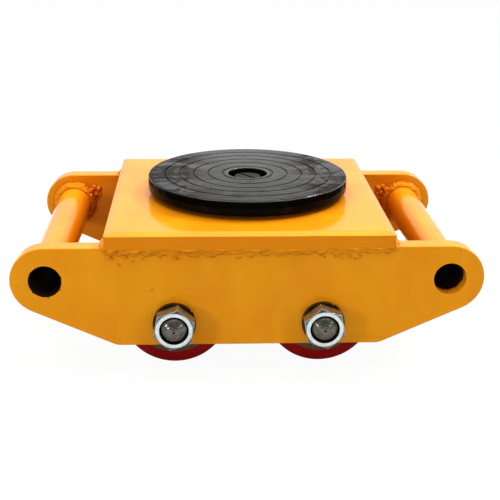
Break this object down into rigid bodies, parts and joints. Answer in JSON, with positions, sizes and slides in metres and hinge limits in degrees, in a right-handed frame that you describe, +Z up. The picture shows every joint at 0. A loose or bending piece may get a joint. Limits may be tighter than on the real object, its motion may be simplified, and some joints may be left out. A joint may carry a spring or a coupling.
{
  "type": "machinery moving skate",
  "caption": "Low steel machinery skate with a rubber-topped load turntable, wide polyurethane rollers and a cross bore through each end for a tow bar or linking pin.",
  "frame": {"origin": "on the floor, under the middle of the skate", "axes": "+X along the skate from tow tube to tow tube, +Y across it along the axles, +Z up; the front side is -Y"},
  "size_m": [0.3, 0.2144, 0.1087],
  "materials": {
    "yellow_paint": "thick glossy orange-yellow enamel with slight orange peel over plate, tube and weld beads",
    "zinc_plate": "bright zinc plating on nuts and the pivot washer",
    "spring_steel": "dark tempered spring steel",
    "black_oxide": "oiled black oxide on the slotted pivot screw",
    "plain_steel": "turned steel, slightly dark with oil",
    "core_steel": "machined steel roller core, dull",
    "polyurethane": "cast deep red polyurethane, satin",
    "bearing_steel": "ground and polished bearing steel",
    "seal_rubber": "black rubber seal",
    "cage_steel": "pressed steel cage",
    "bronze": "plain bearing bronze",
    "black_paint": "gloss black enamel on the turntable",
    "pad_rubber": "black rubber with concentric grooves and dull handling marks"
  },
  "bodies": {
    "frame": {"axle_left": "plain_steel", "axle_nuts": "zinc_plate", "axle_right": "plain_steel", "bearing_spacers": "plain_steel", "end_spacers": "plain_steel", "inner_rings_left": "bearing_steel", "inner_rings_right": "bearing_steel", "lower_race": "bearing_steel", "middle_spacers": "plain_steel", "pivot_nut": "zinc_plate", "pivot_screw": "black_oxide", "pivot_washer": "zinc_plate", "plate_welds": "yellow_paint", "side_plate_front": "yellow_paint", "side_plate_rear": "yellow_paint", "spring_washers": "spring_steel", "top_plate": "yellow_paint", "tow_tube_left": "yellow_paint", "tow_tube_right": "yellow_paint", "tube_welds": "yellow_paint"},
    "turntable": {"turntable_plate": "black_paint", "turntable_pad": "pad_rubber", "pivot_bush": "bronze", "upper_race": "bearing_steel"},
    "thrust_cage": {"thrust_cage": "cage_steel", "thrust_balls": "bearing_steel"},
    "roller_left_front": {"roller_core_left_front": "core_steel", "roller_tread_left_front": "polyurethane", "outer_rings_left_front": "bearing_steel", "bearing_seals_left_front": "seal_rubber"},
    "cages_left_front": {"ball_cages_left_front": "cage_steel", "bearing_balls_left_front": "bearing_steel"},
    "roller_left_rear": {"roller_core_left_rear": "core_steel", "roller_tread_left_rear": "polyurethane", "outer_rings_left_rear": "bearing_steel", "bearing_seals_left_rear": "seal_rubber"},
    "cages_left_rear": {"ball_cages_left_rear": "cage_steel", "bearing_balls_left_rear": "bearing_steel"},
    "roller_right_front": {"roller_core_right_front": "core_steel", "roller_tread_right_front": "polyurethane", "outer_rings_right_front": "bearing_steel", "bearing_seals_right_front": "seal_rubber"},
    "cages_right_front": {"ball_cages_right_front": "cage_steel", "bearing_balls_right_front": "bearing_steel"},
    "roller_right_rear": {"roller_core_right_rear": "core_steel", "roller_tread_right_rear": "polyurethane", "outer_rings_right_rear": "bearing_steel", "bearing_seals_right_rear": "seal_rubber"},
    "cages_right_rear": {"ball_cages_right_rear": "cage_steel", "bearing_balls_right_rear": "bearing_steel"}
  },
  "joints": [
    {"name": "turntable_spin", "type": "hinge", "parent": "frame", "child": "turntable", "pos_m": [0.0025, 0, 0.1], "axis": [0, 0, 1], "continuous": true},
    {"name": "thrust_cage_spin", "type": "hinge", "parent": "frame", "child": "thrust_cage", "pos_m": [0.0025, 0, 0.0955], "axis": [0, 0, 1], "continuous": true},
    {"name": "roller_spin_left_front", "type": "hinge", "parent": "frame", "child": "roller_left_front", "pos_m": [-0.0475, -0.03825, 0.035], "axis": [0, 1, 0], "continuous": true},
    {"name": "cage_spin_left_front", "type": "hinge", "parent": "frame", "child": "cages_left_front", "pos_m": [-0.0475, -0.03825, 0.035], "axis": [0, 1, 0], "continuous": true},
    {"name": "roller_spin_left_rear", "type": "hinge", "parent": "frame", "child": "roller_left_rear", "pos_m": [-0.0475, 0.03825, 0.035], "axis": [0, 1, 0], "continuous": true},
    {"name": "cage_spin_left_rear", "type": "hinge", "parent": "frame", "child": "cages_left_rear", "pos_m": [-0.0475, 0.03825, 0.035], "axis": [0, 1, 0], "continuous": true},
    {"name": "roller_spin_right_front", "type": "hinge", "parent": "frame", "child": "roller_right_front", "pos_m": [0.0475, -0.03825, 0.035], "axis": [0, 1, 0], "continuous": true},
    {"name": "cage_spin_right_front", "type": "hinge", "parent": "frame", "child": "cages_right_front", "pos_m": [0.0475, -0.03825, 0.035], "axis": [0, 1, 0], "continuous": true},
    {"name": "roller_spin_right_rear", "type": "hinge", "parent": "frame", "child": "roller_right_rear", "pos_m": [0.0475, 0.03825, 0.035], "axis": [0, 1, 0], "continuous": true},
    {"name": "cage_spin_right_rear", "type": "hinge", "parent": "frame", "child": "cages_right_rear", "pos_m": [0.0475, 0.03825, 0.035], "axis": [0, 1, 0], "continuous": true}
  ],
  "couplings": [
    {"joint": "thrust_cage_spin", "follows": "turntable_spin", "ratio": 0.5},
    {"joint": "cage_spin_left_front", "follows": "roller_spin_left_front", "ratio": 0.6185},
    {"joint": "cage_spin_left_rear", "follows": "roller_spin_left_rear", "ratio": 0.6185},
    {"joint": "cage_spin_right_front", "follows": "roller_spin_right_front", "ratio": 0.6185},
    {"joint": "cage_spin_right_rear", "follows": "roller_spin_right_rear", "ratio": 0.6185}
  ]
}
